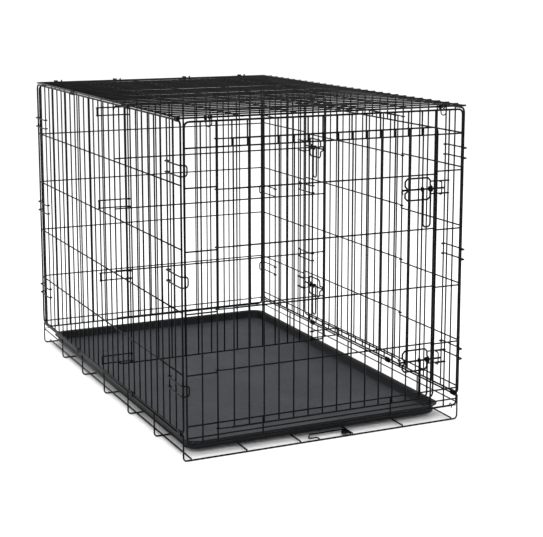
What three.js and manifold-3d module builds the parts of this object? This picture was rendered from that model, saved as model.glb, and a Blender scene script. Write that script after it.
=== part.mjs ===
// Folding wire dog crate: five hinged wire panels and a wire base, two doors with
// slide-bolt latches, a lift-out divider, corner hooks and a slide-out plastic pan.
// Millimetres, +Z up, the front door faces -Y and the side door faces +X.
import * as THREE from "three";
import { mergeVertices } from "three/addons/utils/BufferGeometryUtils.js";
import Module from "manifold-3d";

const wasm = await Module();
wasm.setup();

// ---- driving dimensions ----
const FRAME = 5.0; // frame wire
const GRID = 3.2; // width of a grid wire
const LAYER = [0.2, 2.4]; // depth range of one layer of grid wires, from the panel's middle
const SIDE_X = 384.0; // middle plane of the left and right panels
const SIDE_END = 602.0; // end verticals of the side and top panels, in Y
const SIDE_PITCH = 43.0;
const SIDE_BOTTOM = 70.5;
const SIDE_TOP = 817.8;
const END_Y = 606.8; // middle plane of the front and back panels
const END_EDGE = 376.6; // edge wires of the front and back panels, in X
const END_COUNT = 19; // wire spaces across an end panel
const END_PITCH = (2 * END_EDGE) / END_COUNT;
const END_TOP = 815.0;
const FRONT_BOTTOM = 42.0;
const BACK_BOTTOM = 49.5;
const FRONT_DOORWAY = END_EDGE - 2 * END_PITCH;
const SIDE_DOORWAY = SIDE_END - 7 * SIDE_PITCH;
const DOOR_OUT = 6.5; // door plane outside its panel's plane
const HINGE_OUT = 0.8; // hinge wire of a doorway, outside its panel's plane
const HINGE_R = 2.0;
const DOOR_EYE = [3.8, 1.3]; // radius of a door's hinge eye, and of its wire
const DOOR_LAP = 3.0; // latch edge of a door past its doorway wire
const LATCH_HEIGHTS = [621.0, 180.0];
const ROD_OUT = 15.6; // middle of the bolt outside the panel's plane
const ROD_R = 2.5;
const HOOK_R = 1.4; // wire radius of hooks and handles
const HOOK_EYE = 3.75; // radius of a hook's eye, to the wire's middle
const TOP_Z = 823.5;
const TOP_HINGE_X = -383.0;
const DIVIDER_X = [-342.0, 303.0];
const DIVIDER_COUNT = 16;
const DIVIDER_HOOK_Z = [796.5, 544.0, 342.5, 106.5]; // upper arm of each divider hook
const CORNER_HOOK_Z = [703.0, 441.0, 178.0];
const CLIP_Y = [236.5, -236.5, -580.5];
const CLIP_WIDTH = 16.0;
const BAND = 0.8; // thickness of a clip's sheet
const PAN_BOTTOM = 8.6;
const PAN_TOP = 34.0;
const PAN_HALF = [362.0, 580.0];
const PAN_Y = 14.0;

// ---- solids ----
const lerp = (a, b, t) => a + (b - a) * t;
const vec = (p) => new THREE.Vector3(...p);

// A closed geometry as a solid that can be joined and cut.
function toSolid(geometry) {
  geometry.deleteAttribute("normal");
  geometry.deleteAttribute("uv");
  const merged = mergeVertices(geometry);
  const mesh = new wasm.Mesh({
    numProp: 3,
    vertProperties: merged.getAttribute("position").array,
    triVerts: Uint32Array.from(merged.index.array),
  });
  return new wasm.Manifold(mesh);
}

// The box between two opposite corners.
function cuboid(a, b) {
  const size = vec(a.map((value, i) => Math.abs(value - b[i])));
  const middle = vec(a).add(vec(b)).multiplyScalar(0.5);
  const place = new THREE.Matrix4().makeTranslation(middle).scale(size);
  return toSolid(new THREE.BoxGeometry(1, 1, 1).applyMatrix4(place));
}

function join(solids) {
  return wasm.Manifold.union(solids);
}

// A wire of constant section along a polyline, mitred at every bend.
function wire(points, radius, { sides = 6, closed = false, ref = [0, 0, 1], tip = false } = {}) {
  const path = points.map(vec);
  const count = path.length;
  const legs = [];
  for (let i = 0; i < (closed ? count : count - 1); i += 1) {
    legs.push(path[(i + 1) % count].clone().sub(path[i]).normalize());
  }
  const first = legs[0];
  let side = vec(ref).addScaledVector(first, -vec(ref).dot(first));
  if (side.length() < 1e-3) {
    side = new THREE.Vector3(1, 0, 0).addScaledVector(first, -first.x);
  }
  side.normalize();
  const across = first.clone().cross(side);
  const phase = Math.PI / sides;
  let ring = [];
  for (let i = 0; i < sides; i += 1) {
    const angle = phase + (2 * Math.PI * i) / sides;
    const offset = side.clone().multiplyScalar(radius * Math.cos(angle));
    offset.addScaledVector(across, radius * Math.sin(angle));
    ring.push(path[0].clone().add(offset));
  }
  const slide = (from, centre, along, normal) => from.map((p) => {
    const t = centre.clone().sub(p).dot(normal) / along.dot(normal);
    return p.clone().addScaledVector(along, t);
  });
  const bisector = (i) => {
    const before = legs[(i - 1 + legs.length) % legs.length];
    return before.clone().add(legs[i % legs.length]).normalize();
  };
  if (closed) {
    ring = slide(ring, path[0], first, bisector(0));
  }
  const rings = [ring];
  for (let i = 1; i < count; i += 1) {
    const last = !closed && i === count - 1;
    ring = slide(ring, path[i], legs[i - 1], last ? legs[i - 1] : bisector(i));
    rings.push(ring);
  }
  const vertices = rings.flat();
  const faces = [];
  const spans = closed ? count : count - 1;
  let twist = 0;
  if (closed) {
    const end = slide(ring, path[0], legs[count - 1], bisector(0));
    const gaps = rings[0].map((_, k) => end[0].distanceTo(rings[0][k]));
    twist = gaps.indexOf(Math.min(...gaps));
    if (gaps[twist] > 0.01) {
      throw new Error("a closed wire does not meet itself");
    }
  }
  for (let i = 0; i < spans; i += 1) {
    const next = (i + 1) % count;
    const shift = next === 0 ? twist : 0;
    for (let k = 0; k < sides; k += 1) {
      const a = i * sides + k;
      const b = i * sides + ((k + 1) % sides);
      const c = next * sides + ((k + 1 + shift) % sides);
      const d = next * sides + ((k + shift) % sides);
      faces.push([a, b, c], [a, c, d]);
    }
  }
  if (!closed) {
    const end = (count - 1) * sides;
    for (let k = 1; k < sides - 1; k += 1) {
      faces.push([0, k + 1, k]);
    }
    if (tip) {
      const point = vertices.length;
      vertices.push(path[count - 1].clone().addScaledVector(legs[count - 2], 2.5 * radius));
      for (let k = 0; k < sides; k += 1) {
        faces.push([end + k, end + ((k + 1) % sides), point]);
      }
    } else {
      for (let k = 1; k < sides - 1; k += 1) {
        faces.push([end, end + k, end + k + 1]);
      }
    }
  }
  const geometry = new THREE.BufferGeometry().setFromPoints(vertices);
  geometry.setIndex(faces.flat());
  return toSolid(geometry);
}

// Points on an arc in a plane: centre [a, b], angles in degrees.
function arc(a, b, radius, from, to, step = 30) {
  const count = Math.max(1, Math.round(Math.abs(to - from) / step));
  const points = [];
  for (let i = 0; i <= count; i += 1) {
    const angle = (lerp(from, to, i / count) * Math.PI) / 180;
    points.push([a + radius * Math.cos(angle), b + radius * Math.sin(angle)]);
  }
  return points;
}

// ---- panel frames: u runs along the panel, w out of the crate, z up ----
const FRONT = (u, w, z) => [u, -END_Y - w, z];
const RIGHT = (u, w, z) => [SIDE_X + w, u, z];
const BACK = (u, w, z) => [-u, END_Y + w, z];
const LEFT = (u, w, z) => [-SIDE_X - w, -u, z];
const DIVIDER = (u, w, z) => [u, w, z];
const TOP = (u, w, v) => [v, u, TOP_Z + w];

const FULL = [-FRAME / 2, FRAME / 2];
const OUTER = LAYER;
const INNER = [-LAYER[1], -LAYER[0]];

// An upright bar at u and a level bar at z, cut to a layer of the panel's depth.
const upright = (at, u, z0, z1, layer = OUTER, width = GRID) =>
  cuboid(at(u - width / 2, layer[0], z0), at(u + width / 2, layer[1], z1));
const level = (at, z, u0, u1, layer = INNER, width = GRID) =>
  cuboid(at(u0, layer[0], z - width / 2), at(u1, layer[1], z + width / 2));

// The rectangular frame wire of a panel, with rounded corners.
function frameLoop(at, u0, u1, z0, z1, corner = 9, plane = 0) {
  const ring = [
    ...arc(u1 - corner, z0 + corner, corner, -90, 0, 45),
    ...arc(u1 - corner, z1 - corner, corner, 0, 90, 45),
    ...arc(u0 + corner, z1 - corner, corner, 90, 180, 45),
    ...arc(u0 + corner, z0 + corner, corner, 180, 270, 45),
  ];
  const points = ring.map(([u, z]) => at(u, plane, z));
  const out = vec(at(0, 1, 0)).sub(vec(at(0, 0, 0)));
  return wire(points, FRAME * Math.SQRT1_2, { sides: 4, closed: true, ref: out.toArray() });
}

const steps = (from, to) => Array.from({ length: to - from + 1 }, (_, i) => from + i);

// ---- the four upright panels ----
// The catch for one bolt: a staple round the bolt's end and two pointed stubs.
function catchStaple(at, z, doorway, anchor, edge) {
  const u = edge + DOOR_LAP + FRAME / 2 + 3.2;
  const foot = OUTER[1] + HOOK_R - 0.2;
  const crown = ROD_OUT + ROD_R + 0.6 + HOOK_R;
  const points = [
    [anchor + 1.4, foot, z + 16],
    [u, foot, z + 16],
    [u, crown - 3, z + 16],
    [u, crown, z + 13],
    [u, crown, z - 13],
    [u, crown - 3, z - 16],
    [u, foot, z - 16],
    [anchor + 1.4, foot, z - 16],
  ];
  const parts = [wire(points.map((p) => at(...p)), HOOK_R)];
  for (const dz of [-16, 16]) {
    const start = at(anchor, -1.3, z + dz);
    const end = at(doorway - 8, -1.3, z + dz);
    parts.push(wire([start, end], 1.1, { tip: true }));
  }
  return parts;
}

function sidePanel(at) {
  return [frameLoop(at, -SIDE_END, SIDE_END, SIDE_BOTTOM, SIDE_TOP)];
}

function leftPanel() {
  const parts = sidePanel(LEFT);
  for (const k of steps(1, 27)) {
    parts.push(upright(LEFT, -SIDE_END + k * SIDE_PITCH, SIDE_BOTTOM, SIDE_TOP));
  }
  for (const z of [214, 365, 516, 667]) {
    parts.push(level(LEFT, z, -SIDE_END, SIDE_END));
  }
  return join(parts);
}

// A panel round a doorway: the doorway's own wires are full depth, the rest are in layers.
function doorwayPanel(at, dims) {
  const { edge, pitch, count, low, high, bottom, top, stubs } = dims;
  const way = edge - low * pitch;
  const parts = [frameLoop(at, -edge, edge, bottom, top)];
  const [sill, lintel] = dims.rails;
  const feet = dims.feet ?? steps(low + 1, high - 1); // uprights that stand under the doorway
  for (const k of steps(1, count - 1)) {
    const u = -edge + k * pitch;
    if (k === low) {
      parts.push(wire([at(u, HINGE_OUT, bottom), at(u, HINGE_OUT, top)], HINGE_R, { sides: 8 }));
    } else if (k === high) {
      parts.push(upright(at, u, bottom, top, FULL, FRAME));
    } else if (k > low && k < high) {
      if (feet.includes(k)) {
        parts.push(upright(at, u, bottom, sill));
      }
      parts.push(upright(at, u, lintel, top));
    } else {
      parts.push(upright(at, u, bottom, top));
    }
  }
  for (const z of dims.rails) {
    parts.push(level(at, z, -way, way, FULL, FRAME));
  }
  for (const z of [...stubs, ...dims.rails]) {
    parts.push(level(at, z, -edge, -way));
    parts.push(level(at, z, way, edge));
  }
  for (const z of dims.through) {
    parts.push(level(at, z, -edge, edge));
  }
  for (const z of LATCH_HEIGHTS) {
    parts.push(...catchStaple(at, z, way, way + pitch, way));
  }
  return parts;
}

const FRONT_DIMS = {
  edge: END_EDGE,
  pitch: END_PITCH,
  count: END_COUNT,
  low: 2,
  high: 17,
  bottom: FRONT_BOTTOM,
  top: END_TOP,
  rails: [88.5, 754],
  stubs: [213, 362, 511, 661],
  through: [58.5],
  feet: [5, 14],
};
const RIGHT_DIMS = {
  edge: SIDE_END,
  pitch: SIDE_PITCH,
  count: 28,
  low: 7,
  high: 21,
  bottom: SIDE_BOTTOM,
  top: SIDE_TOP,
  rails: [90, 754],
  stubs: [214, 365, 516, 667],
  through: [],
};

function frontPanel() {
  const parts = doorwayPanel(FRONT, FRONT_DIMS);
  for (const k of FRONT_DIMS.feet) {
    parts.push(upright(FRONT, -END_EDGE + k * END_PITCH, FRONT_BOTTOM - 3.5, FRONT_BOTTOM + 1));
  }
  return join(parts);
}

function backPanel() {
  const parts = [frameLoop(BACK, -END_EDGE, END_EDGE, BACK_BOTTOM, END_TOP)];
  for (const k of steps(1, END_COUNT - 1)) {
    parts.push(upright(BACK, -END_EDGE + k * END_PITCH, BACK_BOTTOM, END_TOP));
  }
  for (const z of [70, 216, 365, 516, 665]) {
    parts.push(level(BACK, z, -END_EDGE, END_EDGE));
  }
  return join(parts);
}

// ---- top panel, base and divider ----
function topPanel() {
  const right = 380.0;
  const parts = [];
  for (const y of [-SIDE_END, SIDE_END]) {
    parts.push(upright(TOP, y, TOP_HINGE_X, right + 8, FULL, FRAME));
  }
  parts.push(level(TOP, right, -SIDE_END, SIDE_END, FULL, FRAME));
  const hinge = [-SIDE_END - FRAME / 2, SIDE_END + FRAME / 2].map((y) => [TOP_HINGE_X, y, TOP_Z]);
  parts.push(wire(hinge, FRAME / 2, { sides: 8 }));
  for (const k of steps(1, 27)) {
    parts.push(upright(TOP, -SIDE_END + k * SIDE_PITCH, TOP_HINGE_X, right + 10, [0.3, 2.4]));
  }
  for (const x of [-228, -76, 76, 228]) {
    parts.push(level(TOP, x, -SIDE_END, SIDE_END));
  }
  return join(parts);
}

// An eye of the base curled round the bottom wire of an end panel.
function baseEye(sign, end, z) {
  const radius = 5.6;
  const curl = arc(0, 0, radius, -30, 240);
  const points = curl.map(([out, up]) => [sign * 360, end * (END_Y - out), z + up]);
  const start = points[0];
  return wire([[sign * SIDE_X, start[1], start[2]], ...points], 1.2, { ref: [0, 0.3, 1] });
}

function baseGrid() {
  const parts = [];
  const floor = FRAME / 2;
  const bend = 12;
  const profile = [
    [SIDE_X, 64],
    ...arc(SIDE_X - bend, floor + bend, bend, 0, -90, 30),
  ];
  const mirrored = profile.map(([x, z]) => [-x, z]).reverse();
  for (const k of steps(-3, 3)) {
    const points = [...profile, ...mirrored].map(([x, z]) => [x, k * 200, z]);
    parts.push(wire(points, FRAME * Math.SQRT1_2, { sides: 4, ref: [0, 1, 0] }));
  }
  for (const at of [LEFT, RIGHT]) {
    parts.push(level(at, 64, -600 - floor, 600 + floor, FULL, FRAME));
    parts.push(level(at, 46, -600, 600, [-1.6, 1.6]));
  }
  for (const x of [-365, -219, -73, 73, 219, 365]) {
    parts.push(cuboid([x - GRID / 2, -601, FRAME - 0.2], [x + GRID / 2, 601, FRAME + 3]));
  }
  for (const sign of [-1, 1]) {
    parts.push(baseEye(sign, -1, FRONT_BOTTOM));
    parts.push(baseEye(sign, 1, BACK_BOTTOM));
  }
  return join(parts);
}

const DIVIDER_PITCH = (DIVIDER_X[1] - DIVIDER_X[0]) / DIVIDER_COUNT;

function dividerPanel() {
  const [u0, u1] = DIVIDER_X;
  const parts = [frameLoop(DIVIDER, u0, u1, 81, 801)];
  for (const k of steps(1, DIVIDER_COUNT - 1)) {
    parts.push(upright(DIVIDER, u0 + k * DIVIDER_PITCH, 81, 801));
  }
  for (const z of [213, 346, 519, 657]) {
    parts.push(level(DIVIDER, z, u0, u1));
  }
  return join(parts);
}

// ---- doors ----
// The keeper of one bolt: a wire loop on the door with a bump over the bolt at each side.
function keeper(at, z, u0, u1) {
  const base = DOOR_OUT + OUTER[1] + HOOK_R - 0.2;
  const crown = ROD_OUT + ROD_R + 0.6 + HOOK_R;
  const corner = [[base, 7.5], [crown - 2, 6], [crown, 3.5]];
  const bump = [...corner.map(([w, v]) => [w, -v]), ...corner.reverse()];
  const points = [
    [u1 - 7, base, z + 27.5],
    [u0 + 7, base, z + 27.5],
    [u0, base, z + 20.5],
    ...bump.map(([w, v]) => [u0, w, z - v]),
    [u0, base, z - 20.5],
    [u0 + 7, base, z - 27.5],
    [u1 - 7, base, z - 27.5],
    [u1, base, z - 20.5],
    ...bump.map(([w, v]) => [u1, w, z + v]),
    [u1, base, z + 20.5],
  ];
  const out = vec(at(0, 1, 0)).sub(vec(at(0, 0, 0)));
  return wire(points.map((p) => at(...p)), HOOK_R, { closed: true, ref: out.toArray() });
}

function door(at, { axis, pitch, spaces, heights }) {
  const edge = -axis + DOOR_LAP;
  const first = axis + pitch;
  const outer = OUTER.map((w) => w + DOOR_OUT);
  const inner = INNER.map((w) => w + DOOR_OUT);
  const bottom = Math.min(...heights);
  const top = Math.max(...heights);
  const parts = [frameLoop(at, first, edge, bottom, top, 9, DOOR_OUT)];
  for (const k of steps(2, spaces - 1)) {
    parts.push(upright(at, axis + k * pitch, bottom, top, outer));
  }
  for (const z of heights) {
    if (z !== bottom && z !== top) {
      parts.push(level(at, z, first, edge, inner));
    }
    const [eye, thin] = DOOR_EYE;
    const curl = arc(axis, HINGE_OUT, eye, 90, 360);
    const arm = [[first + 9, DOOR_OUT], [first - 6, DOOR_OUT], [axis + 12, HINGE_OUT + eye], ...curl];
    parts.push(wire(arm.map(([u, w]) => at(u, w, z)), thin));
  }
  for (const z of LATCH_HEIGHTS) {
    parts.push(keeper(at, z, edge - 94.6, edge - 22.1));
  }
  return join(parts);
}

const FRONT_DOOR = {
  axis: -FRONT_DOORWAY,
  pitch: END_PITCH,
  spaces: 15,
  heights: [773.5, 655, 517, 368, 219, 74.5],
};
const SIDE_DOOR = {
  axis: -SIDE_DOORWAY,
  pitch: 40,
  spaces: 15,
  heights: [768, 661, 522, 371, 220, 80],
};

function bolt(at, edge, z) {
  const points = [
    [edge - 107, ROD_OUT + 4, z - 10],
    [edge - 107, ROD_OUT + 1, z - 3],
    [edge - 103, ROD_OUT, z],
    [edge + 18.4, ROD_OUT, z],
  ];
  return wire(points.map((p) => at(...p)), ROD_R, { sides: 8 });
}

// The drop handle: both ends curl over the bolt, the closed end hangs down.
function handle(at, edge, z) {
  const eye = 4.9;
  const left = edge - 47.6;
  const right = edge - 26.6;
  const curl = arc(0, 0, eye, 270, 0);
  const drop = 95;
  const points = [
    ...curl.map(([w, v]) => [left, ROD_OUT + w, z + v]),
    [left, ROD_OUT + eye, z - drop + 6],
    [left + 6, ROD_OUT + eye, z - drop],
    [right - 6, ROD_OUT + eye, z - drop],
    [right, ROD_OUT + eye, z - drop + 6],
    ...curl.reverse().map(([w, v]) => [right, ROD_OUT + w, z + v]),
  ];
  return wire(points.map((p) => at(...p)), HOOK_R);
}

// ---- hooks, clips, pan and pan stop ----
// A U of wire whose two ends curl round an upright wire and whose closed end hooks over another.
// "reach" is a point on the arms where they turn in, "inward" is the closed end.
function swingHook(axis, along, out, reach, inward, zHigh, zLow) {
  const place = ([a, b], z) => [
    axis[0] + along[0] * a + out[0] * b,
    axis[1] + along[1] * a + out[1] * b,
    z,
  ];
  const curl = arc(0, 0, HOOK_EYE, 360, 90);
  const run = [...curl, [reach - 3, HOOK_EYE], [reach, HOOK_EYE - 3], [reach, inward]];
  const points = [
    ...run.map((p) => place(p, zHigh)),
    ...run.reverse().map((p) => place(p, zLow)),
  ];
  return wire(points, HOOK_R);
}

const WIRE_MID = (LAYER[0] + LAYER[1]) / 2;

function cornerHook(sx, sy, z) {
  const axis = [sx * (SIDE_X + WIRE_MID), sy * (SIDE_END - 2 * SIDE_PITCH)];
  return swingHook(axis, [0, sy], [sx, 0], 96, -13.0, z + 13, z - 13);
}

// The upper three on the right hang swung back behind the divider, the rest reach sideways.
function dividerHook(sx, z, swungBack) {
  const end = sx < 0 ? DIVIDER_X[0] + DIVIDER_PITCH : DIVIDER_X[1] - DIVIDER_PITCH;
  const reach = SIDE_X + LAYER[1] + 0.8 + HOOK_R + DIVIDER_X[0] + DIVIDER_PITCH;
  const [along, out] = swungBack ? [[0, 1], [-sx, 0]] : [[sx, 0], [0, 1]];
  return swingHook([end, WIRE_MID], along, out, reach, -4.8, z, z - 21);
}

// A hook carried by the top panel's end wire, with a leg outside the end panel's top wire.
function topHook(sy, x, width, radius = 1.1) {
  const run = [
    [SIDE_END + 1, TOP_Z - 4.2],
    [SIDE_END - 4.1, TOP_Z - 4.2],
    [SIDE_END - 4.1, TOP_Z + 4.1],
    [END_Y + 3.0, TOP_Z + 4.1],
    [END_Y + 4.2, TOP_Z + 2.9],
    [END_Y + 4.2, END_TOP - 14],
  ];
  const points = [
    ...run.map(([y, z]) => [x - width / 2, sy * y, z]),
    ...run.reverse().map(([y, z]) => [x + width / 2, sy * y, z]),
  ];
  return wire(points, radius);
}

// A band crimped round two parallel wires, given as [x, z, reach] of each.
function clip(y, wires) {
  const sleeve = (grow, half) => {
    const side = (sign, axis) => wires.map((one) => one[axis] + sign * (one[2] + grow));
    const low = [Math.min(...side(-1, 0)), y - half, Math.min(...side(-1, 1))];
    const high = [Math.max(...side(1, 0)), y + half, Math.max(...side(1, 1))];
    return cuboid(low, high);
  };
  return sleeve(BAND, CLIP_WIDTH / 2).subtract(sleeve(0, CLIP_WIDTH));
}

// A flat piece of the given outline, between two heights.
function slab(outline, z0, z1) {
  const shape = new THREE.Shape(outline.map(([x, y]) => new THREE.Vector2(x, y)));
  const geometry = new THREE.ExtrudeGeometry(shape, { depth: z1 - z0, bevelEnabled: false });
  return toSolid(geometry.translate(0, 0, z0));
}

function roundedSlab(halfX, halfY, corner, z0, z1) {
  const north = PAN_Y + halfY - corner;
  const south = PAN_Y - halfY + corner;
  const east = halfX - corner;
  const ring = [
    ...arc(east, north, corner, 0, 90, 15),
    ...arc(-east, north, corner, 90, 180, 15),
    ...arc(-east, south, corner, 180, 270, 15),
    ...arc(east, south, corner, 270, 360, 15),
  ];
  return slab(ring, z0, z1);
}

function pan() {
  const [x, y] = PAN_HALF;
  const tub = roundedSlab(x - 9, y - 9, 34, PAN_BOTTOM, PAN_TOP - 2);
  const rim = roundedSlab(x, y, 42, PAN_TOP - 3, PAN_TOP);
  const hollow = roundedSlab(x - 12, y - 12, 31, PAN_BOTTOM + 2.4, PAN_TOP + 1);
  const step = roundedSlab(x - 6, y - 6, 37, PAN_TOP - 1.4, PAN_TOP + 1);
  return join([tub, rim]).subtract(join([hollow, step]));
}

// The pan stop: two arms hooked over the front floor wire, lying back under the pan. The left
// arm is cranked sideways and a tab fills the corner beside the right one.
function panStop() {
  const radius = 1.0;
  const eye = 4.75;
  const height = 7.25;
  const hooked = (x) => arc(-600, 2.5, eye, 138, 90, 24).map(([y, z]) => [x, y, z]);
  const points = [
    ...hooked(-22),
    [-22, -593, height],
    [-46, -591, height],
    [-30, -565, height],
    [67, -565, height],
    ...hooked(67).reverse(),
  ];
  const tab = slab([[46, -592], [66.5, -596], [66.5, -565], [60, -565]], 6.6, 7.8);
  return join([wire(points, radius), tab]);
}

// ---- materials and assembly ----
const WIRE_MATERIAL = new THREE.MeshStandardMaterial({ color: 0x1d2120, metalness: 0.3, roughness: 0.4 });
const CLIP_MATERIAL = new THREE.MeshStandardMaterial({ color: 0x161817, metalness: 0.4, roughness: 0.5 });
const PAN_MATERIAL = new THREE.MeshStandardMaterial({ color: 0x2b2d31, roughness: 0.7 });

function toMesh(name, solid, material = WIRE_MATERIAL) {
  if (solid.decompose().length !== 1) {
    throw new Error(`${name} is not one connected body`);
  }
  const { vertProperties, triVerts, numProp } = solid.getMesh();
  const geometry = new THREE.BufferGeometry();
  const positions = new Float32Array((vertProperties.length / numProp) * 3);
  for (let i = 0; i < positions.length / 3; i += 1) {
    for (let k = 0; k < 3; k += 1) {
      positions[3 * i + k] = vertProperties[numProp * i + k];
    }
  }
  geometry.setAttribute("position", new THREE.BufferAttribute(positions, 3));
  geometry.setIndex(Array.from(triVerts));
  const mesh = new THREE.Mesh(geometry, material);
  mesh.name = name;
  return mesh;
}

const crate = new THREE.Group();
crate.name = "wire_dog_crate";
const add = (name, solid, material) => crate.add(toMesh(name, solid, material));

add("base_grid", baseGrid());
add("pan", pan(), PAN_MATERIAL);
add("left_panel", leftPanel());
add("right_panel", join(doorwayPanel(RIGHT, RIGHT_DIMS)));
add("front_panel", frontPanel());
add("back_panel", backPanel());
add("top_panel", topPanel());
add("divider_panel", dividerPanel());

for (const [side, at, spec] of [["front", FRONT, FRONT_DOOR], ["side", RIGHT, SIDE_DOOR]]) {
  const edge = -spec.axis + DOOR_LAP;
  add(`${side}_door`, door(at, spec));
  LATCH_HEIGHTS.forEach((z, i) => {
    const label = ["upper", "lower"][i];
    add(`${side}_bolt_${label}`, bolt(at, edge, z));
    add(`${side}_handle_${label}`, handle(at, edge, z));
  });
}

const CORNERS = { front_left: [-1, -1], front_right: [1, -1], back_left: [-1, 1], back_right: [1, 1] };
for (const [corner, [sx, sy]] of Object.entries(CORNERS)) {
  CORNER_HOOK_Z.forEach((z, i) => add(`hook_${corner}_${i + 1}`, cornerHook(sx, sy, z)));
}
for (const [side, sx] of [["left", -1], ["right", 1]]) {
  DIVIDER_HOOK_Z.forEach((z, i) => {
    add(`divider_hook_${side}_${i + 1}`, dividerHook(sx, z, sx > 0 && i < 3));
  });
}
CLIP_Y.forEach((y, i) => {
  const top = [[-SIDE_X, SIDE_TOP, 2.9], [TOP_HINGE_X, TOP_Z, 2.7]];
  add(`clip_top_left_${i + 1}`, clip(y, top), CLIP_MATERIAL);
  for (const [side, sx] of [["left", -1], ["right", 1]]) {
    const low = [[sx * SIDE_X, SIDE_BOTTOM, 2.9], [sx * SIDE_X, 64, 2.9]];
    add(`clip_bottom_${side}_${i + 1}`, clip(y, low), CLIP_MATERIAL);
  }
});
add("front_top_hook_left", topHook(-1, -317, 15));
add("front_top_hook_right", topHook(-1, 317, 15));
[-316, -125, 110, 304].forEach((x, i) => add(`back_top_hook_${i + 1}`, topHook(1, x, 22)));
add("pan_stop", panStop());

// Centre the crate over the origin and stand it on z = 0.
const bounds = new THREE.Box3().setFromObject(crate);
const middle = bounds.getCenter(new THREE.Vector3());
const shift = new THREE.Vector3(-middle.x, -middle.y, -bounds.min.z);
crate.children.forEach((mesh) => mesh.geometry.translate(shift.x, shift.y, shift.z));
console.log(`shift ${shift.toArray().map((value) => value.toFixed(3)).join(" ")}`);

export default crate;
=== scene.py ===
"""Looks of the folding wire dog crate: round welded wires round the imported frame."""
import math
import random

import bpy
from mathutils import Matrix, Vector


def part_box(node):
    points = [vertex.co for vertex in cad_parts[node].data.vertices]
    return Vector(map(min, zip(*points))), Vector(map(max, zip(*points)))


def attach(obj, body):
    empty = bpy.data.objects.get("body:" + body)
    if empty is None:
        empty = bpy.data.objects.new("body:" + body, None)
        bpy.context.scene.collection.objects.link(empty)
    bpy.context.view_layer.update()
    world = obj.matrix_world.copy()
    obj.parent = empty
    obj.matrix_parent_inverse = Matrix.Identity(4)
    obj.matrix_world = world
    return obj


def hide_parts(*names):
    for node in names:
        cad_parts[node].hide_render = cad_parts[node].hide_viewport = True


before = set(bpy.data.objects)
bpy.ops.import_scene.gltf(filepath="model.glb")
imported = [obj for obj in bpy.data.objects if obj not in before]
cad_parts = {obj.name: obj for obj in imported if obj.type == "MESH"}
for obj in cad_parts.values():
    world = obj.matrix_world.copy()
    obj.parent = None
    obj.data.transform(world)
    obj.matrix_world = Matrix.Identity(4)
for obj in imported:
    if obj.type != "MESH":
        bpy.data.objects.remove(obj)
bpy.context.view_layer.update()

# ---- driving dimensions, in millimetres in the crate's own design frame ----
FRAME_R = 2.5  # frame wire
BASE_R = 2.05  # cross wires of the base
GRID_R = 1.95  # grid wire
WAY_R = 2.15  # doorway, door and divider frame wires
HOOK_R = 1.9
CORNER_R = 14.0  # bend at a frame's corners
LAYER = 1.3  # grid wires sit this far to either side of a panel's middle
SIDE_X = 384.0
SIDE_END = 602.0
SIDE_PITCH = 43.0
SIDE_GAPS = 28  # spaces between a side panel's uprights
SIDE_LEVELS = (214, 365, 516, 667)
SIDE_BOTTOM = 70.5
SIDE_TOP = 817.8
END_Y = 606.8
END_EDGE = 376.6
END_GAPS = 19  # spaces between an end panel's uprights
END_PITCH = 2 * END_EDGE / END_GAPS
END_TOP = 815.0
FRONT_BOTTOM = 42.0
BACK_BOTTOM = 49.5
FRONT_WAY = END_EDGE - 2 * END_PITCH
FRONT_FEET = (5, 14)  # uprights that stand under the front doorway
SIDE_WAY = SIDE_END - 7 * SIDE_PITCH
DOOR_OUT = 6.5
HINGE_OUT = 0.8  # hinge wire of a doorway, outside its panel's plane
HINGE_R = 2.0
DOOR_EYE = 3.8
DOOR_LAP = 3.0
DOOR_UPRIGHTS = 14
RAIL_R = 2.0  # sill and lintel of a doorway
RAIL_PLANE = -0.6
LATCHES = {"upper": 621.0, "lower": 180.0}  # heights of the bolts
ROD_OUT = 15.6
ROD_R = 2.5
ROD_PLAY = 0.6  # room between a rod and the wire bent over it
CATCH_HALF = 16
KEEPER_NEAR = 22.1  # from the door's latch edge
KEEPER_FAR = 94.6
EYE_ARM_R = 1.65  # a door's level wire where it turns into a hinge eye
KEEPER_R = 2.25
HANDLE_R = 2.3
HOOK_EYE = 4.4
CORNER_HOOK_Z = (703, 441, 178)
DIVIDER_HOOK_Z = (796.5, 544, 342.5, 106.5)
TOP_Z = 823.5
TOP_HINGE_X = -383.0
DIVIDER_LEFT = -342.0
DIVIDER_RIGHT = 303.0
DIVIDER_PITCH = (DIVIDER_RIGHT - DIVIDER_LEFT) / 16
PAN_HALF = (362.0, 580.0)
PAN_Y = 14.0
PAN_CORNER = 42.0
STOP_R = 1.9
CLIP_Y = (236.5, -236.5, -580.5)
CLIP_R = 3.9  # bend of a clip's sheet round a wire
CLIP_SHEET = 0.5
CLIP_RIB = 0.35  # how far a clip's ribs stand proud

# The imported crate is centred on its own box: the left panel says by how much.
left_low, left_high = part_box("left_panel")
SHIFT = Vector((
    (left_low[0] + left_high[0]) * 500 + SIDE_X,
    (left_low[1] + left_high[1]) * 500,
    0.0,
))
chance = random.Random(48)


# ---- paths ----
def arc(a, b, radius, start, end, step=15):
    """Points on an arc round (a, b), angles in degrees."""
    count = max(1, round(abs(end - start) / step))
    points = []
    for i in range(count + 1):
        angle = math.radians(start + (end - start) * i / count)
        points.append((a + radius * math.cos(angle), b + radius * math.sin(angle)))
    return points


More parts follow.
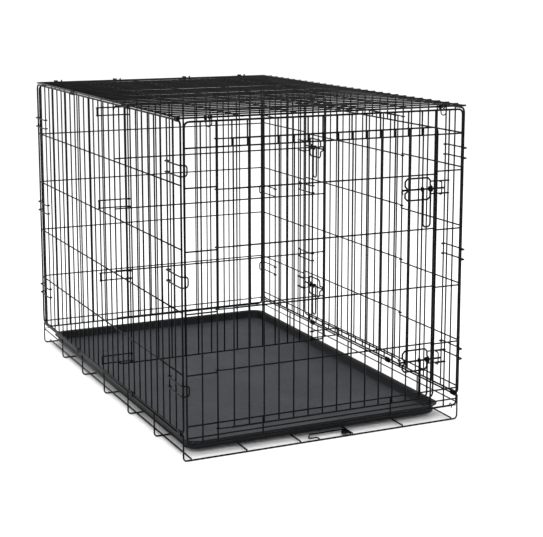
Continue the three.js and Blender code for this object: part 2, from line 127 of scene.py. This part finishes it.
def rounded(points, radius, closed=False):
    """The path with each sharp corner drawn out into a smooth bend."""
    path = [Vector(p) for p in points]
    count = len(path)
    result = []
    for i, corner in enumerate(path):
        if not closed and i in (0, count - 1):
            result.append(corner)
            continue
        before = path[i - 1]
        after = path[(i + 1) % count]
        back = before - corner
        ahead = after - corner
        turn = back.angle(ahead, math.pi)
        if turn > math.radians(150):
            result.append(corner)
            continue
        reach = min(radius / math.tan(turn / 2), back.length * 0.45, ahead.length * 0.45)
        a = corner + back.normalized() * reach
        b = corner + ahead.normalized() * reach
        for k in range(6):
            t = k / 5
            result.append(a * (1 - t) ** 2 + corner * 2 * t * (1 - t) + b * t * t)
    return result


class Wires:
    """A mesh gathered from round wires."""

    def __init__(self):
        self.verts = []
        self.faces = []

    def wire(self, points, radius, closed=False, sides=10, taper=None, bow=0.0):
        """Sweep a round wire along points; taper scales its radius at each one."""
        path = [Vector(p) for p in points]
        if bow and len(path) == 2:
            path = self.bowed(path, bow)
        count = len(path)
        legs = [(path[(i + 1) % count] - path[i]).normalized() for i in range(count)]
        side = legs[0].orthogonal().normalized()
        base = len(self.verts)
        for i, centre in enumerate(path):
            if closed or 0 < i < count - 1:
                tangent = (legs[i - 1] + legs[i]).normalized()
            elif i == 0:
                tangent = legs[0]
            else:
                tangent = legs[i - 1]
            side = (side - tangent * side.dot(tangent)).normalized()
            across = tangent.cross(side)
            size = radius if taper is None else radius * taper[i]
            for k in range(sides):
                angle = 2 * math.pi * k / sides
                vertex = centre + side * size * math.cos(angle)
                self.verts.append(vertex + across * size * math.sin(angle))
        spans = count if closed else count - 1
        for i in range(spans):
            here = base + i * sides
            there = base + ((i + 1) % count) * sides
            twist = 0
            if closed and i == count - 1:
                gaps = [(self.verts[here] - self.verts[there + k]).length for k in range(sides)]
                twist = gaps.index(min(gaps))
            for k in range(sides):
                n = (k + 1) % sides
                far = there + (k + twist) % sides
                far_next = there + (n + twist) % sides
                self.faces.append((here + k, here + n, far_next, far))
        if not closed:
            self.faces.append(tuple(base + k for k in reversed(range(sides))))
            self.faces.append(tuple(base + (count - 1) * sides + k for k in range(sides)))

    def bowed(self, path, bow):
        """A straight wire with the slight bow that handling leaves in it."""
        start, end = path
        run = end - start
        sideways = run.orthogonal().normalized()
        other = run.normalized().cross(sideways)
        angle = chance.uniform(0, 2 * math.pi)
        drift = (sideways * math.cos(angle) + other * math.sin(angle)) * chance.uniform(0, bow)
        return [start + run * t + drift * math.sin(math.pi * t) for t in (0, 0.2, 0.4, 0.6, 0.8, 1.0)]

    def frame(self, at, u0, u1, z0, z1, plane=0.0, corner=CORNER_R, radius=FRAME_R):
        corners = [(u0, z0), (u1, z0), (u1, z1), (u0, z1)]
        points = rounded([at(u, plane, z) for u, z in corners], corner, closed=True)
        self.wire(points, radius, closed=True, sides=12)

    def upright(self, at, u, z0, z1, plane=LAYER, radius=GRID_R, bow=0.5):
        self.wire([at(u, plane, z0), at(u, plane, z1)], radius, bow=bow)

    def level(self, at, z, u0, u1, plane=-LAYER, radius=GRID_R, bow=0.5):
        self.wire([at(u0, plane, z), at(u1, plane, z)], radius, bow=bow)

    def weld(self, at, u, z, plane=0.0):
        """A small round nugget where two wires are welded."""
        rows = ((-1.5, 0.5), (-0.7, 1.7), (0.7, 1.7), (1.5, 0.5))
        points = [at(u, plane + w, z) for w, _ in rows]
        self.wire(points, 1.0, sides=8, taper=[size for _, size in rows])

    def mesh(self, name):
        data = bpy.data.meshes.new(name)
        verts = [tuple((v + SHIFT) * 0.001) for v in self.verts]
        data.from_pydata(verts, [], self.faces)
        data.validate()
        data.shade_smooth()
        return data


def front(u, w, z):
    return Vector((u, -END_Y - w, z))


def right(u, w, z):
    return Vector((SIDE_X + w, u, z))


def back(u, w, z):
    return Vector((-u, END_Y + w, z))


def left(u, w, z):
    return Vector((-SIDE_X - w, -u, z))


def divider(u, w, z):
    return Vector((u, w, z))


def top(u, w, v):
    return Vector((v, u, TOP_Z + w))


# ---- materials ----
def nodes_of(name):
    material = bpy.data.materials.new(name)
    material.use_nodes = True
    tree = material.node_tree
    return material, tree, tree.nodes["Principled BSDF"]


def noise(tree, scale, detail=4.0, rough=0.55, kind="ShaderNodeTexNoise"):
    coord = tree.nodes.new("ShaderNodeTexCoord")
    node = tree.nodes.new(kind)
    node.inputs["Scale"].default_value = scale
    if kind == "ShaderNodeTexNoise":
        node.inputs["Detail"].default_value = detail
        node.inputs["Roughness"].default_value = rough
    tree.links.new(coord.outputs["Object"], node.inputs["Vector"])
    return node


def ramp(tree, source, stops):
    node = tree.nodes.new("ShaderNodeValToRGB")
    elements = node.color_ramp.elements
    elements[0].position, elements[0].color = stops[0][0], (*stops[0][1], 1)
    elements[1].position, elements[1].color = stops[-1][0], (*stops[-1][1], 1)
    for position, colour in stops[1:-1]:
        elements.new(position).color = (*colour, 1)
    tree.links.new(source, node.inputs["Fac"])
    return node


def remap(tree, source, low, high):
    node = tree.nodes.new("ShaderNodeMapRange")
    node.inputs["To Min"].default_value = low
    node.inputs["To Max"].default_value = high
    tree.links.new(source, node.inputs["Value"])
    return node.outputs["Result"]


def bump(tree, shader, layers):
    """Stack bumps, each (height socket, strength, distance in metres)."""
    normal = None
    for height, strength, distance in layers:
        node = tree.nodes.new("ShaderNodeBump")
        node.inputs["Strength"].default_value = strength
        node.inputs["Distance"].default_value = distance
        tree.links.new(height, node.inputs["Height"])
        if normal is not None:
            tree.links.new(normal, node.inputs["Normal"])
        normal = node.outputs["Normal"]
    tree.links.new(normal, shader.inputs["Normal"])


def coated_wire(name, dark, pale, roughness):
    """Black e-coat on steel wire: orange peel and faint paler patches."""
    material, tree, shader = nodes_of(name)
    patches = noise(tree, 26.0)
    fine = noise(tree, 900.0, detail=2.0)
    colour = ramp(tree, patches.outputs["Fac"], [(0.35, dark), (0.62, dark), (0.8, pale)])
    tree.links.new(colour.outputs["Color"], shader.inputs["Base Color"])
    tree.links.new(remap(tree, patches.outputs["Fac"], *roughness), shader.inputs["Roughness"])
    shader.inputs["Metallic"].default_value = 0.0
    shader.inputs["IOR"].default_value = 1.5
    shader.inputs["Specular IOR Level"].default_value = 0.065
    bump(tree, shader, [(fine.outputs["Fac"], 0.25, 0.0002), (patches.outputs["Fac"], 0.2, 0.0004)])
    return material


def pebbled_plastic(name, shades, grain_depth, roughness, gloss=0.2):
    """Moulded charcoal plastic: pebble grain, scuffs and faint cloudiness."""
    material, tree, shader = nodes_of(name)
    cloud = noise(tree, 7.0, detail=6.0)
    grain = noise(tree, 420.0, kind="ShaderNodeTexVoronoi")
    fine = noise(tree, 1500.0, detail=2.0)
    scuff = noise(tree, 60.0, detail=8.0, rough=0.7)
    speck = noise(tree, 260.0, detail=3.0, rough=0.7)
    blend = tree.nodes.new("ShaderNodeMix")
    blend.inputs["Factor"].default_value = 0.5
    tree.links.new(cloud.outputs["Fac"], blend.inputs["A"])
    tree.links.new(speck.outputs["Fac"], blend.inputs["B"])
    stops = list(zip((0.36, 0.5, 0.62), shades))
    colour = ramp(tree, blend.outputs["Result"], stops)
    marks = ramp(tree, scuff.outputs["Fac"], [(0.60, (1, 1, 1)), (0.78, (1.25, 1.25, 1.25))])
    mix = tree.nodes.new("ShaderNodeMix")
    mix.data_type = "RGBA"
    mix.blend_type = "MULTIPLY"
    mix.inputs["Factor"].default_value = 1.0
    tree.links.new(colour.outputs["Color"], mix.inputs["A"])
    tree.links.new(marks.outputs["Color"], mix.inputs["B"])
    tree.links.new(mix.outputs["Result"], shader.inputs["Base Color"])
    tree.links.new(remap(tree, scuff.outputs["Fac"], *roughness), shader.inputs["Roughness"])
    shader.inputs["Specular IOR Level"].default_value = gloss
    bump(tree, shader, [
        (grain.outputs["Distance"], grain_depth, 0.0008), (fine.outputs["Fac"], 0.25, 0.0002)])
    return material


WIRE = coated_wire("black_wire", (0.0014, 0.0017, 0.0016), (0.0065, 0.0068, 0.0064), (0.28, 0.44))
CLIP = coated_wire("black_clip", (0.0007, 0.0009, 0.0009), (0.005, 0.005, 0.005), (0.36, 0.55))
# The tray's floor and underside take the plain plastic below.
PAN = pebbled_plastic(
    "pebbled_plastic",
    ((0.0120, 0.0142, 0.0180), (0.0195, 0.0224, 0.0276), (0.0310, 0.0350, 0.0420)),
    grain_depth=0.6,
    roughness=(0.5, 0.7))
# A darker copy of the same plastic for the tray's walls and rim: painted shade, not a different plastic.
PAN_WALL_PAINTED_SHADE = pebbled_plastic(
    "pan_wall_painted_shade",
    ((0.0034, 0.0041, 0.0054), (0.0048, 0.0057, 0.0074), (0.0070, 0.0082, 0.0104)),
    grain_depth=0.25,
    roughness=(0.42, 0.6),
    gloss=0.14)


def piece(name, body, builder, node=None, material=WIRE):
    """Make an object that rides on a body and stands for a CAD node."""
    data = builder.mesh(name)
    data.materials.append(material)
    obj = bpy.data.objects.new(name, data)
    bpy.context.scene.collection.objects.link(obj)
    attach(obj, body)
    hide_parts(node or body)
    return obj


# ---- upright panels ----
def weld_grid(mesh, at, us, zs):
    for u in us:
        for z in zs:
            mesh.weld(at, u, z)


def left_panel():
    mesh = Wires()
    mesh.frame(left, -SIDE_END, SIDE_END, SIDE_BOTTOM, SIDE_TOP)
    us = [-SIDE_END + k * SIDE_PITCH for k in range(1, SIDE_GAPS)]
    for u in us:
        mesh.upright(left, u, SIDE_BOTTOM, SIDE_TOP)
    for z in SIDE_LEVELS:
        mesh.level(left, z, -SIDE_END, SIDE_END)
    weld_grid(mesh, left, us, SIDE_LEVELS)
    piece("left_wire_panel", "shell", mesh, "left_panel")


def catch_staple(mesh, at, z, way, anchor):
    """The catch that a bolt's tip slides under, on two stubs that taper off in the doorway."""
    root = anchor + 1.4
    u = way + DOOR_LAP + FRAME_R + 3.2
    foot = LAYER + GRID_R + HOOK_R - 0.4
    crown = ROD_OUT + ROD_R + ROD_PLAY + HOOK_R
    above = z + CATCH_HALF
    below = z - CATCH_HALF
    points = [(root, foot, above), (u, foot, above), (u, crown, above)]
    points += [(u, crown, below), (u, foot, below), (root, foot, below)]
    mesh.wire(rounded([at(*p) for p in points], 4.0), 1.6)
    for level in (below, above):
        run = [at(way + (anchor - way) * t, -LAYER, level) for t in (1.0, 0.5, 0.0)]
        run += [at(way - 8, -LAYER, level), at(way - 11.4, -LAYER, level)]
        mesh.wire(run, 1.7, taper=[1, 1, 1, 1.15, 0.15])


def doorway_panel(at, edge, pitch, count, low, bottom, high_z, rails, stubs,
                  through=(), feet=None):
    """A panel whose grid stops at a doorway framed by two uprights and two rails."""
    mesh = Wires()
    way = edge - low * pitch
    mesh.frame(at, -edge, edge, bottom, high_z)
    sill, lintel = rails
    for k in range(1, count):
        u = -edge + k * pitch
        if k == low:
            mesh.upright(at, u, bottom, high_z, plane=HINGE_OUT, radius=HINGE_R, bow=0.0)
        elif k == count - low:
            mesh.upright(at, u, bottom, high_z, plane=0.0, radius=WAY_R, bow=0.0)
        elif low < k < count - low:
            if feet is None or k in feet:
                mesh.upright(at, u, bottom, sill, bow=0.1)
                weld_grid(mesh, at, [u], [sill, *through])
            mesh.upright(at, u, lintel, high_z, bow=0.1)
            weld_grid(mesh, at, [u], [lintel])
        else:
            mesh.upright(at, u, bottom, high_z)
            weld_grid(mesh, at, [u], [*stubs, *rails, *through])
    for z in rails:
        mesh.level(at, z, -edge, edge, radius=RAIL_R, bow=0.0, plane=RAIL_PLANE)
    for z in stubs:
        mesh.level(at, z, -edge, -way, bow=0.2)
        mesh.level(at, z, way, edge, bow=0.2)
    for z in through:
        mesh.level(at, z, -edge, edge)
    for z in LATCHES.values():
        catch_staple(mesh, at, z, way, way + pitch)
    return mesh


def front_panel():
    mesh = doorway_panel(front, END_EDGE, END_PITCH, END_GAPS, 2, FRONT_BOTTOM, END_TOP,
                         (88.5, 754), (213, 362, 511, 661), (58.5,), FRONT_FEET)
    for k in FRONT_FEET:
        u = -END_EDGE + k * END_PITCH
        mesh.upright(front, u, FRONT_BOTTOM - 4.5, FRONT_BOTTOM + 20, bow=0.0)
    piece("front_wire_panel", "front_panel", mesh)


def right_panel():
    mesh = doorway_panel(right, SIDE_END, SIDE_PITCH, SIDE_GAPS, 7, SIDE_BOTTOM, SIDE_TOP,
                         (90, 754), SIDE_LEVELS)
    piece("right_wire_panel", "shell", mesh, "right_panel")


def back_panel():
    mesh = Wires()
    mesh.frame(back, -END_EDGE, END_EDGE, BACK_BOTTOM, END_TOP)
    us = [-END_EDGE + k * END_PITCH for k in range(1, END_GAPS)]
    zs = (70, 216, 365, 516, 665)
    for u in us:
        mesh.upright(back, u, BACK_BOTTOM, END_TOP)
    for z in zs:
        mesh.level(back, z, -END_EDGE, END_EDGE)
    weld_grid(mesh, back, us, zs)
    piece("back_wire_panel", "back_panel", mesh)


# ---- top, base and divider ----
def top_panel():
    mesh = Wires()
    edge = 380.0
    for y in (-SIDE_END, SIDE_END):
        mesh.upright(top, y, TOP_HINGE_X, edge + 8, plane=0.0, radius=2.4, bow=0.0)
    for x in (TOP_HINGE_X, edge):
        mesh.level(top, x, -SIDE_END - 2, SIDE_END + 2, plane=0.0, radius=2.4, bow=0.0)
    ys = [-SIDE_END + k * SIDE_PITCH for k in range(1, SIDE_GAPS)]
    xs = (-228, -76, 76, 228)
    for y in ys:
        mesh.upright(top, y, TOP_HINGE_X, edge + 13, plane=1.0)
    for x in xs:
        mesh.level(top, x, -SIDE_END, SIDE_END, plane=-1.3)
    weld_grid(mesh, top, ys, xs)
    piece("top_wire_panel", "top_panel", mesh)


def base_grid():
    mesh = Wires()
    bend = 9
    low = BASE_R
    profile = [(SIDE_X, 65.5)] + arc(SIDE_X - bend, low + bend, bend, 0, -90)
    profile += [(-x, z) for x, z in reversed(profile)]
    for k in range(-3, 4):
        mesh.wire([(x, k * 200, z) for x, z in profile], BASE_R, sides=12)
    for at in (left, right):
        mesh.level(at, 64, -602, 602, plane=0.0, radius=2.3, bow=0.0)
        mesh.level(at, 46, -601, 601, plane=0.0, radius=1.8, bow=0.0)
    for x in [-365 + 146 * k for k in range(6)]:
        mesh.wire([(x, -602, 6.4), (x, 602, 6.4)], GRID_R)
    for sign in (-1, 1):
        for end, z in ((-1, FRONT_BOTTOM), (1, BACK_BOTTOM)):
            curl = [(sign * 360, end * (END_Y - out), z + up) for out, up in arc(0, 0, 5.6, -30, 240)]
            start = (sign * SIDE_X, curl[0][1], curl[0][2])
            mesh.wire(rounded([start, *curl], 2.0), 1.2)
    piece("base_wire_grid", "shell", mesh, "base_grid")


def divider_panel():
    mesh = Wires()
    mesh.frame(divider, DIVIDER_LEFT, DIVIDER_RIGHT, 81, 801, radius=WAY_R)
    us = [DIVIDER_LEFT + k * DIVIDER_PITCH for k in range(1, 16)]
    zs = (213, 346, 519, 657)
    for u in us:
        mesh.upright(divider, u, 81, 801)
    for z in zs:
        mesh.level(divider, z, DIVIDER_LEFT, DIVIDER_RIGHT)
    weld_grid(mesh, divider, us, zs)
    piece("divider_wire_panel", "shell", mesh, "divider_panel")


# ---- doors and latches ----
def keeper(mesh, at, z, u0, u1):
    """A closed loop welded to the door, with both its uprights raised over the bolt."""
    base = DOOR_OUT + LAYER + GRID_R + HOOK_R - 0.7
    crown = ROD_OUT + ROD_R + ROD_PLAY + HOOK_R
    inset = 7
    shoulder = 20.5
    end = 27.5
    rise = [(base, 8.5), (crown - 1, 5), (crown, 3)]
    down = [(w, -v) for w, v in rise]
    up = down + rise[::-1]
    points = [(u1 - inset, base, z + end), (u0 + inset, base, z + end), (u0, base, z + shoulder)]
    points += [(u0, w, z - v) for w, v in up]
    points += [(u0, base, z - shoulder), (u0 + inset, base, z - end), (u1 - inset, base, z - end)]
    points += [(u1, base, z - shoulder)]
    points += [(u1, w, z + v) for w, v in up]
    points += [(u1, base, z + shoulder)]
    mesh.wire(rounded([at(*p) for p in points], 3.5, closed=True), KEEPER_R, closed=True)


def door(name, body, at, axis, pitch, heights):
    """A door: its level wires curl round the doorway's upright as hinges."""
    mesh = Wires()
    edge = -axis + DOOR_LAP
    first = axis + pitch
    low, high = min(heights), max(heights)
    outer = [(first - 6, high), (edge, high), (edge, low), (first - 6, low)]
    mesh.wire(rounded([at(u, DOOR_OUT, z) for u, z in outer], CORNER_R), WAY_R, sides=12)
    us = [axis + k * pitch for k in range(2, DOOR_UPRIGHTS + 1)]
    for u in [first, *us]:
        mesh.upright(at, u, low, high, plane=DOOR_OUT + LAYER)
    for z in heights:
        if z not in (low, high):
            mesh.level(at, z, first, edge, plane=DOOR_OUT - LAYER)
            weld_grid_door(mesh, at, us, z)
        arm = [(first + 9, DOOR_OUT), (first - 6, DOOR_OUT), (axis + 12, HINGE_OUT + DOOR_EYE)]
        arm += arc(axis, HINGE_OUT, DOOR_EYE, 90, 360)
        mesh.wire(rounded([at(u, w, z) for u, w in arm], 6.0), EYE_ARM_R)
    for z in LATCHES.values():
        keeper(mesh, at, z, edge - KEEPER_FAR, edge - KEEPER_NEAR)
    piece(name, body, mesh)


def weld_grid_door(mesh, at, us, z):
    for u in us:
        mesh.weld(at, u, z, plane=DOOR_OUT)


def bolt(name, at, edge, z):
    mesh = Wires()
    bent = [(edge - 107, ROD_OUT + 4, z - 10), (edge - 107, ROD_OUT + 1, z - 3), (edge - 103, ROD_OUT, z)]
    tip = [(edge + reach, ROD_OUT, z) for reach in (14, 17.6, 18.4)]
    path = rounded([at(*p) for p in [*bent, tip[0]]], 2.5) + [at(*p) for p in tip[1:]]
    mesh.wire(path, ROD_R, sides=14, taper=[1.0] * (len(path) - 1) + [0.7])
    piece(f"{name}_rod", name, mesh)


def handle(name, at, edge, z):
    mesh = Wires()
    eye = 4.9
    ends = (edge - 47.6, edge - 26.6)
    curl = arc(0, 0, eye, 270, 0)
    points = [(ends[0], ROD_OUT + w, z + v) for w, v in curl[:-1]]
    points += [(ends[0], ROD_OUT + eye, z - 1)]
    points += [(ends[0], ROD_OUT + eye, z - 95), (ends[1], ROD_OUT + eye, z - 95)]
    points += [(ends[1], ROD_OUT + eye, z - 1)]
    points += [(ends[1], ROD_OUT + w, z + v) for w, v in reversed(curl[:-1])]
    mesh.wire(rounded([at(*p) for p in points], 10.0), HANDLE_R)
    piece(f"{name}_wire", name, mesh)


# ---- hooks and clips ----
def swing_hook(name, axis, along, out, reach, inward, high, low):
    def place(a, b, z):
        return (axis[0] + along[0] * a + out[0] * b, axis[1] + along[1] * a + out[1] * b, z)

    run = [*arc(0, 0, HOOK_EYE, 360, 90), (reach, HOOK_EYE), (reach, inward)]
    points = [place(a, b, high) for a, b in run] + [place(a, b, low) for a, b in reversed(run)]
    mesh = Wires()
    mesh.wire(rounded(points, 8.0), HOOK_R)
    piece(f"{name}_wire", name, mesh)


def corner_hooks():
    corners = {
        "front_left": (-1, -1),
        "front_right": (1, -1),
        "back_left": (-1, 1),
        "back_right": (1, 1),
    }
    for corner, (sx, sy) in corners.items():
        axis = (sx * (SIDE_X + LAYER), sy * (SIDE_END - 2 * SIDE_PITCH))
        for i, z in enumerate(CORNER_HOOK_Z):
            name = f"hook_{corner}_{i + 1}"
            swing_hook(name, axis, (0, sy), (sx, 0), 96, -13.0, z + 13, z - 13)


def divider_hooks():
    reach = SIDE_X + 2.4 + 0.8 + HOOK_R + DIVIDER_LEFT + DIVIDER_PITCH
    for side, sx in (("left", -1), ("right", 1)):
        end = DIVIDER_LEFT + DIVIDER_PITCH if sx < 0 else DIVIDER_RIGHT - DIVIDER_PITCH
        for i, z in enumerate(DIVIDER_HOOK_Z):
            name = f"divider_hook_{side}_{i + 1}"
            along, out = ((sx, 0), (0, 1)) if sx < 0 or i == 3 else ((0, 1), (-1, 0))
            swing_hook(name, (end, LAYER), along, out, reach, -4.8, z, z - 21)


def top_hook(name, sy, x, width):
    """A wire coiled round the top's end wire, with a U hung outside the end panel's top wire."""
    coil = 5.2
    pitch = 3.2
    half = width / 2
    outside = sy * (END_Y + 4.6)

    def turns(side, count):
        start = x + side * half
        ring = arc(0, 0, coil, 90, 90 + 360 * count, 20)
        rise = [-side * pitch * count * i / (len(ring) - 1) for i in range(len(ring))]
        return [(start + dx, sy * (SIDE_END - dy), TOP_Z + dz) for dx, (dy, dz) in zip(rise, ring)]

    u_bottom = [
        (x - half * math.cos(math.radians(a)), outside, END_TOP - 5 - half * math.sin(math.radians(a)))
        for a in range(0, 181, 20)
    ]
    left_end = turns(-1, 2)[::-1]
    right_end = turns(1, 1)
    path = rounded([left_end[-1], (x - half, outside, TOP_Z + coil), u_bottom[0]], 3.0)
    path = left_end[:-1] + path + u_bottom[1:-1]
    path += rounded([u_bottom[-1], (x + half, outside, TOP_Z + coil), right_end[0]], 3.0) + right_end[1:]
    mesh = Wires()
    mesh.wire(path, 1.45)
    piece(f"{name}_wire", "top_panel", mesh, name)


def band(section, centre, y):
    """A closed band of sheet along section, with two raised ribs."""
    mesh = Wires()
    ribs = [(9, 0.0), (8.4, CLIP_RIB), (2.6, CLIP_RIB), (2, 0.0)]
    rows = [(-dy, lift) for dy, lift in ribs] + ribs[::-1]
    count = len(section)
    for grow in (0.0, -CLIP_SHEET):
        for dy, lift in rows:
            for px, pz in section:
                out = (Vector((px, 0, pz)) - centre).normalized() * (lift + grow)
                mesh.verts.append(Vector((px + out.x, y + dy, pz + out.z)))
    skin = len(rows) * count
    for row in range(len(rows) - 1):
        for k in range(count):
            a = row * count + k
            b = row * count + (k + 1) % count
            mesh.faces.append((a, a + count, b + count, b))
            mesh.faces.append((skin + b, skin + b + count, skin + a + count, skin + a))
    for row, flip in ((0, False), (len(rows) - 1, True)):
        for k in range(count):
            a = row * count + k
            b = row * count + (k + 1) % count
            quad = (a, b, skin + b, skin + a)
            mesh.faces.append(tuple(reversed(quad)) if flip else quad)
    return mesh


def clips():
    """Crimped bands that hold a panel's wire to the wire beside it."""
    bands = [("clip_top_left", -SIDE_X, SIDE_TOP, TOP_HINGE_X, TOP_Z)]
    bands += [("clip_bottom_left", -SIDE_X, SIDE_BOTTOM, -SIDE_X, 64.0)]
    bands += [("clip_bottom_right", SIDE_X, SIDE_BOTTOM, SIDE_X, 64.0)]
    for label, x0, z0, x1, z1 in bands:
        tilt = math.degrees(math.atan2(z1 - z0, x1 - x0))
        section = arc(x1, z1, CLIP_R, tilt - 90, tilt + 90, 20)
        section += arc(x0, z0, CLIP_R, tilt + 90, tilt + 270, 20)
        centre = Vector(((x0 + x1) / 2, 0, (z0 + z1) / 2))
        for i, y in enumerate(CLIP_Y):
            name = f"{label}_{i + 1}"
            piece("band_" + name, "shell", band(section, centre, y), name, CLIP)


# ---- pan and pan stop ----
def pan():
    """The tray, from loops of its rounded outline, up its outside, over the rim and down to its floor."""
    mesh = Wires()
    # inset from the outline, height
    profile = [(15, 8.6), (12, 9.6), (9.8, 13), (9.2, 29.6), (8.4, 30.6), (0.8, 30.9), (0, 31.6),
               (0, 33.2), (0.7, 34.0), (4.8, 34.0), (5.7, 33.5), (6.2, 32.7), (9.4, 32.5),
               (10.9, 32.0), (11.8, 30.4), (12.7, 15), (14.6, 11.9), (18, 11.0)]
    for inset, z in profile:
        hx, hy = PAN_HALF[0] - inset, PAN_HALF[1] - inset
        corner = PAN_CORNER - inset
        loop = arc(hx - corner, hy - corner, corner, 0, 90, 9)
        loop += arc(corner - hx, hy - corner, corner, 90, 180, 9)
        loop += arc(corner - hx, corner - hy, corner, 180, 270, 9)
        loop += arc(hx - corner, corner - hy, corner, 270, 360, 9)
        mesh.verts += [Vector((x, y + PAN_Y, z)) for x, y in loop]
    count = len(loop)
    for row in range(len(profile) - 1):
        for k in range(count):
            a = row * count + k
            b = row * count + (k + 1) % count
            mesh.faces.append((a, b, b + count, a + count))
    mesh.faces.append(tuple(reversed(range(count))))
    mesh.faces.append(tuple((len(profile) - 1) * count + k for k in range(count)))
    obj = piece("pan_tray", "pan", mesh, "pan", PAN)
    # Floor and underside caps keep the plain plastic; every wall and rim face takes the darker copy,
    # which is painted shade.
    obj.data.materials.append(PAN_WALL_PAINTED_SHADE)
    for face in obj.data.polygons:
        face.material_index = 0 if len(face.vertices) > 4 else 1
    bevel = obj.modifiers.new("soften", "BEVEL")
    bevel.width = 0.0004
    bevel.segments = 2
    bevel.limit_method = "ANGLE"


def pan_stop():
    """A bent wire hooked over the front floor wire, with a tab that the pan's rim stops against."""
    mesh = Wires()
    level = 6.5
    hooked = arc(-600, 2.5, 4.0, 145, 90, 11)
    left_arm = [(-22, y, z) for y, z in hooked]
    left_arm += [(-22, -593, level), (-46, -591, level), (-30, -565, level)]
    right_arm = [(67, y, z) for y, z in hooked] + [(67, -565, level)]
    path = rounded(left_arm + right_arm[::-1], 4.0)
    mesh.wire(path, STOP_R, taper=[0.5, 0.8] + [1.0] * (len(path) - 4) + [0.8, 0.5])
    outline = [(46, -592), (67, -596), (67, -566), (60, -566)]
    start = len(mesh.verts)
    for z in (5.6, 7.4):
        mesh.verts += [Vector((x, y, z)) for x, y in outline]
    mesh.faces.append(tuple(start + k for k in (0, 3, 2, 1)))
    mesh.faces.append(tuple(start + 4 + k for k in range(4)))
    for k in range(4):
        n = (k + 1) % 4
        mesh.faces.append((start + k, start + n, start + 4 + n, start + 4 + k))
    piece("pan_stop_wire", "pan_stop", mesh)


left_panel()
right_panel()
front_panel()
back_panel()
top_panel()
base_grid()
divider_panel()
DOORS = {
    "front": (front, -FRONT_WAY, END_PITCH, (773.5, 655, 517, 368, 219, 74.5)),
    "side": (right, -SIDE_WAY, 40.0, (768, 661, 522, 371, 220, 80)),
}
for side, (place, axis, pitch, heights) in DOORS.items():
    door(f"{side}_wire_door", f"{side}_door", place, axis, pitch, heights)
    for label, height in LATCHES.items():
        bolt(f"{side}_bolt_{label}", place, DOOR_LAP - axis, height)
        handle(f"{side}_handle_{label}", place, DOOR_LAP - axis, height)
corner_hooks()
divider_hooks()
clips()
top_hook("front_top_hook_left", -1, -317, 15)
top_hook("front_top_hook_right", -1, 317, 15)
for i, x in enumerate((-316, -125, 110, 304)):
    top_hook(f"back_top_hook_{i + 1}", 1, x, 22)
pan()
pan_stop()


# ---- stage ----
def floor():
    data = bpy.data.meshes.new("studio_floor")
    size = 30.0
    corners = [(-size, -size, 0), (size, -size, 0), (size, size, 0), (-size, size, 0)]
    data.from_pydata(corners, [], [(0, 1, 2, 3)])
    material, _, shader = nodes_of("studio_floor")
    shader.inputs["Base Color"].default_value = (0.93, 0.93, 0.93, 1)
    shader.inputs["Roughness"].default_value = 0.7
    shader.inputs["Specular IOR Level"].default_value = 0.1
    data.materials.append(material)
    obj = bpy.data.objects.new("studio_floor", data)
    bpy.context.scene.collection.objects.link(obj)


def area_light(name, place, target, size, power):
    data = bpy.data.lights.new(name, "AREA")
    data.shape = "SQUARE"
    data.size = size
    data.energy = power
    obj = bpy.data.objects.new(name, data)
    obj.location = place
    obj.rotation_euler = (Vector(target) - Vector(place)).to_track_quat("-Z", "Y").to_euler()
    bpy.context.scene.collection.objects.link(obj)


def studio():
    world = bpy.data.worlds.new("studio")
    world.use_nodes = True
    background = world.node_tree.nodes["Background"]
    background.inputs["Color"].default_value = (1, 1, 1, 1)
    background.inputs["Strength"].default_value = 1.15
    bpy.context.scene.world = world
    area_light("key", (-2.2, -2.6, 3.4), (0, 0, 0.3), 2.4, 60)
    area_light("overhead", (0.4, 0.6, 3.6), (0, 0, 0), 3.0, 50)
    bpy.context.scene.view_settings.view_transform = "Standard"


CAMERA = {
    "place": (-1509.4, -3492.0, 1134.9),
    "azimuth": 25.14,
    "pitch": 9.556,
    "sensor": 36.0,
    "lens": 90.03978,
    "shift": -0.1099448,
}


def camera():
    data = bpy.data.cameras.new("camera")
    data.sensor_width = CAMERA["sensor"]
    data.sensor_fit = "HORIZONTAL"
    data.lens = CAMERA["lens"]
    data.shift_y = CAMERA["shift"]
    obj = bpy.data.objects.new("camera", data)
    azimuth = math.radians(CAMERA["azimuth"])
    obj.location = (Vector(CAMERA["place"]) + SHIFT) * 0.001
    obj.rotation_euler = (math.radians(90 - CAMERA["pitch"]), 0, -azimuth)
    bpy.context.scene.collection.objects.link(obj)
    bpy.context.scene.camera = obj


floor()
studio()
camera()
